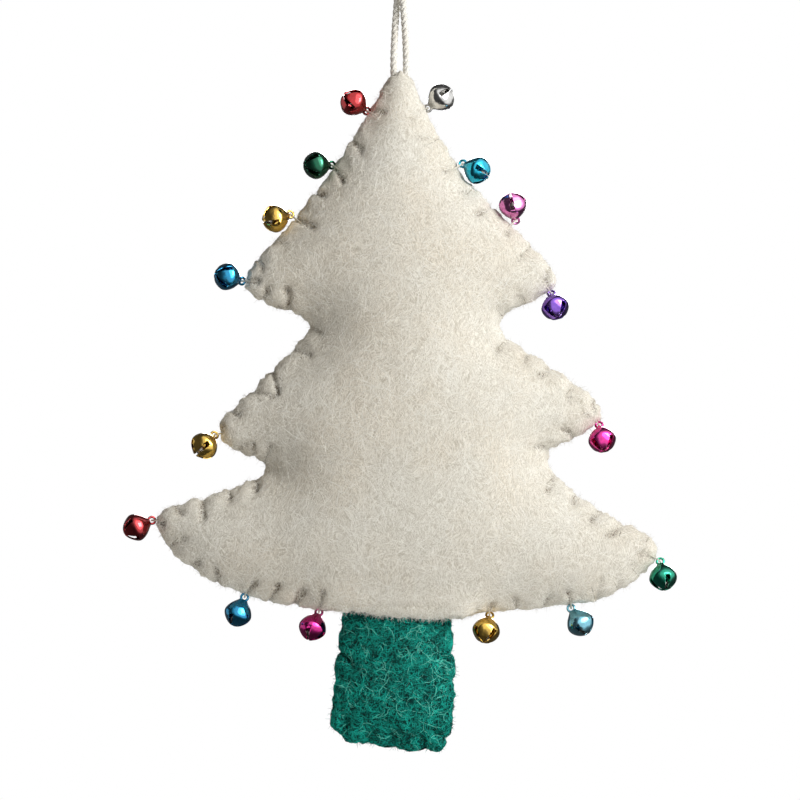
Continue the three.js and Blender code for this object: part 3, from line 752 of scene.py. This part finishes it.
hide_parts("edge_thread_right")
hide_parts("trunk_thread")
print("threads done")


# loose wool fibres lying on the felt, and a fuzz standing off it
def spotsOn(felt, keep, count, chance):
    faces = felt.data.polygons
    middles = np.empty(len(faces) * 3)
    areas = np.empty(len(faces))
    faces.foreach_get("center", middles)
    faces.foreach_get("area", areas)
    middles = middles.reshape(-1, 3)
    total = np.cumsum(areas * keep(middles))
    picked = [int(np.searchsorted(total, chance.random() * total[-1])) for draw in range(count)]
    return [Vector(middles[face]) for face in picked]


def shadeLike(mesh, surface, share):  # matted fibres take light as the felt under them does
    own = normalsOf(mesh)
    under = np.array([surface.find_nearest(vert.co)[1] for vert in mesh.vertices])
    mesh.normals_split_custom_set_from_vertices(own * (1 - share) + under * share)


def layFibres(name, felt, look, seed, keep, finishes):
    chance = random.Random(seed)
    surface = BVHTree.FromObject(felt, bpy.context.evaluated_depsgraph_get())
    last = look["steps"] - 1
    lines = []
    for middle in spotsOn(felt, keep, look["count"], chance):
        spot, normal = surface.find_nearest(middle)[:2]
        way = normal.cross(Vector((0.3, 0.2, 1))).normalized()
        comb = 4 * noise.noise(spot * 55) + chance.gauss(0, look["mess"])
        way.rotate(Matrix.Rotation(comb, 3, normal))
        length = chance.uniform(*look["length"]) * mm
        bend = chance.gauss(0, look["bend"])
        lift = chance.uniform(*look["lift"]) * mm
        points = []
        for step in range(look["steps"]):
            points.append(spot + normal * (lift * math.sin(math.pi * step / last) - look["radius"] * 0.4 * mm))
            way.rotate(Matrix.Rotation(bend + chance.gauss(0, look["bend"]), 3, normal))
            spot, normal = surface.find_nearest(spot + way * (length / last))[:2]
            way = (way - normal * way.dot(normal)).normalized()
        widths = [0.45 + 0.6 * math.sin(math.pi * step / last) for step in range(look["steps"])]
        lines.append((points, widths, chance.choices(range(len(finishes)), look["shares"])[0]))
    piece = roundRod(name, lines, look["radius"] * mm, 3, *finishes)
    shadeLike(piece.data, surface, look["matted"])
    return piece


def standFuzz(name, felt, look, seed, keep, finishes):
    chance = random.Random(seed)
    surface = BVHTree.FromObject(felt, bpy.context.evaluated_depsgraph_get())
    lines = []
    for middle in spotsOn(felt, keep, look["count"], chance):
        spot, normal = surface.find_nearest(middle)[:2]
        lean = Vector((chance.gauss(0, 1), chance.gauss(0, 1), chance.gauss(0, 1)))
        way = (normal + lean * look["mess"] - Vector((0, 0, look["droop"]))).normalized()
        step = chance.uniform(*look["length"]) / 3 * mm
        points = [spot - normal * 0.1 * mm]
        for part in range(3):
            points.append(points[-1] + way * step)
            way = (way + lean.cross(normal) * look["bend"]).normalized()
        lines.append((points, [1, 0.9, 0.7, 0.35], chance.choices(range(len(finishes)), look["shares"])[0]))
    return roundRod(name, lines, look["radius"] * mm, 3, *finishes)


creamFibreLook = {"count": 7400, "length": (1.6, 7.2), "mess": 1.0, "bend": 0.27, "lift": (0.0, 0.1), "steps": 5,
                  "radius": 0.042, "matted": 0.4, "shares": (5, 5)}
creamFuzzLook = {"count": 9500, "length": (0.35, 1.6), "mess": 0.8, "droop": 0, "bend": 0.35, "radius": 0.03,
                 "shares": (5, 5)}
hemFuzzLook = {"count": 2600, "length": (0.4, 1.7), "mess": 0.85, "droop": 0.9, "bend": 0.55, "radius": 0.034,
               "shares": (8, 2)}
tealFibreLook = {"count": 4400, "length": (1.5, 7), "mess": 1.8, "bend": 0.42, "lift": (0.03, 0.35), "steps": 7,
                 "radius": 0.055, "matted": 0.7, "shares": (4, 6, 0.7)}
tealFuzzLook = {"count": 2600, "length": (0.4, 1.6), "mess": 0.8, "droop": 0, "bend": 0.4, "radius": 0.04,
                "shares": (4, 5, 0.3)}
creamFibres = [strandFinish("paleWoolFibre", (0.88, 0.865, 0.805), 0.08),
               strandFinish("woolFibre", (0.79, 0.765, 0.69), 0.15)]
tealFibres = [strandFinish("deepTealFibre", (0.0, 0.045, 0.04), 0.5),
              strandFinish("tealFibre", (0.012, 0.58, 0.455), 0.6),
              strandFinish("paleTealFibre", (0.2, 0.92, 0.74), 0.3)]
belowTree = -0.1825  # where the trunk comes out of the tree
treeHem = -0.1795  # lip of felt over the trunk
fibrePieces = (
    (layFibres, "frontFibres", treeFelt, creamFibreLook, 21, lambda at: at[:, 1] < 0.0005, creamFibres, "cream_felt"),
    (layFibres, "backFibres", treeFelt, creamFibreLook, 22, lambda at: at[:, 1] > -0.0005, creamFibres, "cream_felt"),
    (standFuzz, "treeFuzz", treeFelt, creamFuzzLook, 25,
     lambda at: (abs(at[:, 1]) < 0.0065) | (at[:, 2] < treeHem), creamFibres, "cream_felt"),
    (standFuzz, "hemFuzz", treeFelt, hemFuzzLook, 27,
     lambda at: (abs(at[:, 0] - pocket["middle"] * mm) < 0.0135) & (at[:, 2] < treeHem) & (abs(at[:, 1]) > 0.0045),
     creamFibres, "cream_felt"),
    (layFibres, "trunkFrontFibres", trunkFelt, tealFibreLook, 23,
     lambda at: (at[:, 1] < 0.001) & (at[:, 2] < belowTree), tealFibres, "green_felt"),
    (layFibres, "trunkBackFibres", trunkFelt, tealFibreLook, 24,
     lambda at: (at[:, 1] > -0.001) & (at[:, 2] < belowTree), tealFibres, "green_felt"),
    (standFuzz, "trunkFuzz", trunkFelt, tealFuzzLook, 26, lambda at: at[:, 2] < belowTree, tealFibres, "green_felt"))
for make, name, felt, look, seed, keep, finishes, slot in fibrePieces:
    piece = make(name, felt, look, seed, keep, finishes)
    piece.visible_shadow = felt is trunkFelt  # fine pale fibres let the light through
    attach(piece, "tree")
    print(name, "faces:", len(piece.data.polygons))


# bells: pressed shell with four petals, wire shank, loose pellet
bellLook = {
    "profile": ((0.78, -0.45), (0.98, -0.8), (1.38, -1.18), (1.84, -1.6), (2.32, -2.12), (2.76, -2.8), (3.05, -3.5),
                (3.15, -4.08), (3.02, -4.74), (2.6, -5.48), (1.98, -6.12), (1.24, -6.6), (0.54, -6.85), (0.0, -6.89)),
    "wall": 0.3, "turns": 48, "flat": 0.15, "petalTop": 4.1, "petalLong": 2.2,
    "slotTop": -4.2, "slotWide": 0.66, "slotNarrow": 0.16}
shankLook = {"ring": 0.77, "wire": 0.27, "leg": 0.34, "foot": -1.75, "flare": 0.35, "heel": 0.3, "neck": -1.0,
             "opening": 80}


def bellShell():
    bm = bmesh.new()
    outline = [bm.verts.new((radius, 0, z)) for radius, z in bellLook["profile"]]
    edges = [bm.edges.new(pair) for pair in zip(outline, outline[1:])]
    bmesh.ops.spin(bm, geom=outline + edges, cent=(0, 0, 0), axis=(0, 0, 1), angle=2 * math.pi,
                   steps=bellLook["turns"], use_merge=True)
    bmesh.ops.remove_doubles(bm, verts=bm.verts, dist=0.001)
    for vert in bm.verts:  # petals are flatter than the ball they came from
        below = min(1, max(0, (-vert.co.z - bellLook["petalTop"]) / bellLook["petalLong"]))
        angle = math.atan2(vert.co.y, vert.co.x)
        pinch = 1 - bellLook["flat"] * below * (0.5 - 0.5 * math.cos(4 * angle))
        vert.co.x *= pinch
        vert.co.y *= pinch
    bmesh.ops.recalc_face_normals(bm, faces=bm.faces)
    shell = newPiece("bellShell", meshOf("bellShell", bm), None, None)
    wall = shell.modifiers.new("wall", "SOLIDIFY")
    wall.thickness = bellLook["wall"]
    wall.offset = -1
    # the inside of the shell takes the second finish: bare steel, darkened as painted shade
    wall.material_offset = 1
    wall.material_offset_rim = 0
    finer = shell.modifiers.new("finer", "SUBSURF")
    finer.levels = finer.render_levels = 1
    bake(shell)
    cutter = bmesh.new()
    for quarter in range(4):
        wide, narrow, top = bellLook["slotWide"], bellLook["slotNarrow"], bellLook["slotTop"]
        plan = [(0.0, -narrow), (2.2, -wide * 0.75), (4, -wide), (4, wide), (2.2, wide * 0.75), (0.0, narrow)]
        face = cutter.faces.new([cutter.verts.new((x, y, top - 0.25 * abs(y))) for x, y in plan])
        moved = bmesh.ops.extrude_face_region(cutter, geom=[face])["geom"]
        corners = [v for v in moved if isinstance(v, bmesh.types.BMVert)]
        bmesh.ops.translate(cutter, verts=corners, vec=(0, 0, -5))
        bmesh.ops.rotate(cutter, verts=list(cutter.verts), cent=(0, 0, 0),
                         matrix=Matrix.Rotation(math.pi / 2, 3, "Z"))
    bmesh.ops.recalc_face_normals(cutter, faces=cutter.faces)
    knife = newPiece("slotCutter", meshOf("slotCutter", cutter), None)
    slots = shell.modifiers.new("slots", "BOOLEAN")
    slots.operation = "DIFFERENCE"
    slots.solver = "EXACT"
    slots.use_self = True
    slots.object = knife
    soft = shell.modifiers.new("edges", "BEVEL")
    soft.width = 0.05
    soft.segments = 2
    soft.limit_method = "ANGLE"
    soft.angle_limit = math.radians(50)
    bake(shell)
    bpy.data.objects.remove(knife)
    mesh = shell.data
    bpy.data.objects.remove(shell)
    mesh.shade_smooth()
    return mesh


def shankLine():
    ring, leg, foot = shankLook["ring"], shankLook["leg"], shankLook["foot"]
    points = [Vector((leg + shankLook["flare"], 0, foot)), Vector((leg, 0, foot + shankLook["heel"])),
              Vector((leg, 0, shankLook["neck"]))]
    for step in range(25):
        angle = math.radians(shankLook["opening"] / 2 - 90 + (360 - shankLook["opening"]) * step / 24)
        points.append(Vector((ring * math.cos(angle), 0, ring * math.sin(angle))))
    points += [Vector((-leg, 0, shankLook["neck"])), Vector((-leg, 0, foot + shankLook["heel"])),
               Vector((-leg - shankLook["flare"], 0, foot))]
    return points


def lacquerFinish(name, colour, rough):
    finish, tree, shader = startFinish(name)
    place = addNode(tree, "ShaderNodeTexCoord").outputs["Object"]
    blotch = noiseOn(tree, place, 700, 3)
    rub = noiseOn(tree, place, 2600, 3, 0.7, 1.5)
    deep = tuple(value * 0.72 for value in colour)
    tree.links.new(rampOn(tree, blotch, (0.35, deep), (0.65, colour)), shader.inputs["Base Color"])
    tree.links.new(rampOn(tree, rub, (0.4, (rough,)), (0.72, (rough + 0.1,))), shader.inputs["Roughness"])
    shader.inputs["Metallic"].default_value = 1
    shader.inputs["Coat Weight"].default_value = 0.35
    shader.inputs["Coat IOR"].default_value = 1.75
    shader.inputs["Coat Roughness"].default_value = 0.07
    dents = noiseOn(tree, place, 420, 2, 0.5, 0.4)
    bumpOn(tree, shader, dents, 0.3, 0.0006)
    return finish


def steelFinish(name, dull, bright):
    finish, tree, shader = startFinish(name)
    place = addNode(tree, "ShaderNodeTexCoord").outputs["Object"]
    stain = noiseOn(tree, place, 1500, 4, 0.65)
    tree.links.new(rampOn(tree, stain, (0.35, dull), (0.65, bright)), shader.inputs["Base Color"])
    tree.links.new(rampOn(tree, stain, (0.35, (0.5,)), (0.7, (0.3,))), shader.inputs["Roughness"])
    shader.inputs["Metallic"].default_value = 1
    return finish


bellColours = {
    "red": (0.47, 0.022, 0.026), "dark_green": (0.002, 0.11, 0.052), "gold": (0.78, 0.5, 0.09),
    "blue": (0.012, 0.27, 0.5), "dark_red": (0.42, 0.025, 0.03), "magenta": (0.62, 0.015, 0.24),
    "light_blue": (0.22, 0.55, 0.68), "green": (0.008, 0.36, 0.22), "pink": (0.75, 0.03, 0.3),
    "purple": (0.24, 0.1, 0.6), "lilac": (0.72, 0.2, 0.52), "cyan": (0.01, 0.46, 0.66),
    "silver": (0.66, 0.655, 0.635)}
bells = (  # degrees from straight down toward +X, degrees forward, turn on its own axis, colour
    (-122, 28, 25, "red"), (-88, 28, 45, "dark_green"), (-73, 26, 20, "gold"), (-106, 30, 45, "blue"),
    (-43, 34, 5, "gold"), (-66, 12, 50, "dark_red"), (-22, 0, 65, "blue"), (-22, 20, 72, "magenta"),
    (-14, 30, 35, "gold"), (32, 10, 70, "light_blue"), (8, 24, 20, "green"), (10, 32, 45, "pink"),
    (14, 36, 45, "purple"), (-168, 30, 5, "lilac"), (64, 22, 10, "cyan"), (128, 10, 10, "silver"))
shellMesh = bellShell()
shankShape = shankLine()
lacquers = {name: lacquerFinish("lacquer_" + name, colour, 0.06) for name, colour in bellColours.items()}
# bare steel for the inside of the shells, darkened past real steel as painted shade inside the bell
shadedBareSteel = steelFinish("shadedBareSteel", (0.05, 0.047, 0.042), (0.14, 0.13, 0.115))
pelletSteel = steelFinish("pelletSteel", (0.3, 0.28, 0.25), (0.55, 0.54, 0.5))
for number, (aim, forward, turn, colour) in enumerate(bells, 1):
    body = f"bell_{number:02d}"
    hang = Matrix.Translation(hinges[body]) @ Matrix.Rotation(math.radians(-aim), 4, "Y")
    hang = hang @ Matrix.Rotation(math.radians(-forward), 4, "X") @ Matrix.Scale(mm, 4)
    shell = newPiece(f"bellShell.{number:02d}", shellMesh.copy())
    shell.data.materials.clear()
    shell.data.materials.append(lacquers[colour])
    shell.data.materials.append(shadedBareSteel)
    shell.data.transform(hang @ Matrix.Rotation(math.radians(turn), 4, "Z"))
    points = [hang @ point for point in shankShape]
    shank = roundRod(f"bellShank.{number:02d}", [(points, [1.0] * len(points), 0)], shankLook["wire"] * mm, 12,
                     lacquers[colour])
    for piece, node in ((shell, body + "_shell"), (shank, body + "_shank")):
        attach(piece, body)
        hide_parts(node)
    pellet = frame["nodes"][body + "_pellet"]
    pellet.data.materials.clear()
    pellet.data.materials.append(pelletSteel)
print("bells done")


# floor, lights and what the metal reflects
floorLook = {"height": -0.32, "radius": 1.0, "dark": (0.86, 0.86, 0.85), "light": (0.9, 0.9, 0.89),
             "glow": (0.42, 0.42, 0.415)}
bm = bmesh.new()
bmesh.ops.create_circle(bm, cap_ends=True, segments=96, radius=floorLook["radius"])
bmesh.ops.translate(bm, verts=bm.verts, vec=(0, 0, floorLook["height"]))
paleFloor, tree, shader = startFinish("paleFloor")
spots = noiseOn(tree, addNode(tree, "ShaderNodeTexCoord").outputs["Object"], 9, 3)
tree.links.new(rampOn(tree, spots, (0.3, floorLook["dark"]), (0.7, floorLook["light"])), shader.inputs["Base Color"])
shader.inputs["Roughness"].default_value = 0.8
shader.inputs["Emission Color"].default_value = (*floorLook["glow"], 1)
tree.links.new(addNode(tree, "ShaderNodeLightPath").outputs["Is Camera Ray"], shader.inputs["Emission Strength"])
floor = newPiece("floor", meshOf("floor", bm), paleFloor)

roomLook = {"radius": 1.7, "bright": (0.62, -0.68, 0.4), "strength": 4}
bm = bmesh.new()
bmesh.ops.create_icosphere(bm, subdivisions=5, radius=roomLook["radius"])
darkRoom, tree, shader = startFinish("darkRoom")
toward = addNode(tree, "ShaderNodeVectorMath", operation="DOT_PRODUCT")
toward.inputs[1].default_value = Vector(roomLook["bright"]).normalized() / roomLook["radius"]
tree.links.new(addNode(tree, "ShaderNodeTexCoord").outputs["Object"], toward.inputs[0])
glow = rampOn(tree, toward.outputs["Value"], (0.0, (0.01,)), (0.2, (0.04,)), (0.36, (0.12,)), (0.44, (0.28,)),
              (0.77, (0.36,)), (0.83, (1,)))
shader.inputs["Base Color"].default_value = (0, 0, 0, 1)
tree.links.new(glow, shader.inputs["Emission Color"])
shader.inputs["Emission Strength"].default_value = roomLook["strength"]
room = newPiece("darkRoom", meshOf("darkRoom", bm), darkRoom)
room.visible_camera = room.visible_diffuse = room.visible_shadow = room.visible_transmission = False
floor.visible_glossy = False


lampAim = Vector((0, 0, -0.13))  # middle of the tree


def softBox(name, place, size, power):
    lamp = bpy.data.lights.new(name, "AREA")
    lamp.shape = "RECTANGLE"
    lamp.size, lamp.size_y = size
    lamp.energy = power
    stand = bpy.data.objects.new(name, lamp)
    stand.location = place
    stand.rotation_euler = (lampAim - Vector(place)).to_track_quat("-Z", "Y").to_euler()
    stand.visible_camera = False
    scene.collection.objects.link(stand)


softBox("keyLight", (0.335, -0.27, 0.09), (0.24, 0.28), 2.4)
softBox("fillLight", (-0.55, 0.14, -0.1), (0.4, 0.4), 0.3)
softBox("backLight", (0.1, 0.8, 0.1), (0.4, 0.4), 4.0)

skyLook = {"tint": (1, 0.94, 0.86), "strength": 0.19}
sky = bpy.data.worlds.new("studio")
scene.world = sky
sky.use_nodes = True
tree = sky.node_tree
ambient = tree.nodes["Background"]
ambient.inputs["Color"].default_value = (*skyLook["tint"], 1)
ambient.inputs["Strength"].default_value = skyLook["strength"]
white = addNode(tree, "ShaderNodeBackground", Color=(1, 1, 1, 1), Strength=1.0)
rays = addNode(tree, "ShaderNodeLightPath")
seen = rays.outputs["Is Camera Ray"]
for ray in ("Is Glossy Ray", "Is Transmission Ray"):
    either = addNode(tree, "ShaderNodeMath", operation="MAXIMUM")
    tree.links.new(seen, either.inputs[0])
    tree.links.new(rays.outputs[ray], either.inputs[1])
    seen = either.outputs["Value"]
choose = addNode(tree, "ShaderNodeMixShader")
tree.links.new(seen, choose.inputs["Fac"])
tree.links.new(ambient.outputs["Background"], choose.inputs[1])
tree.links.new(white.outputs["Background"], choose.inputs[2])
tree.links.new(choose.outputs["Shader"], tree.nodes["World Output"].inputs["Surface"])
print("lights done")
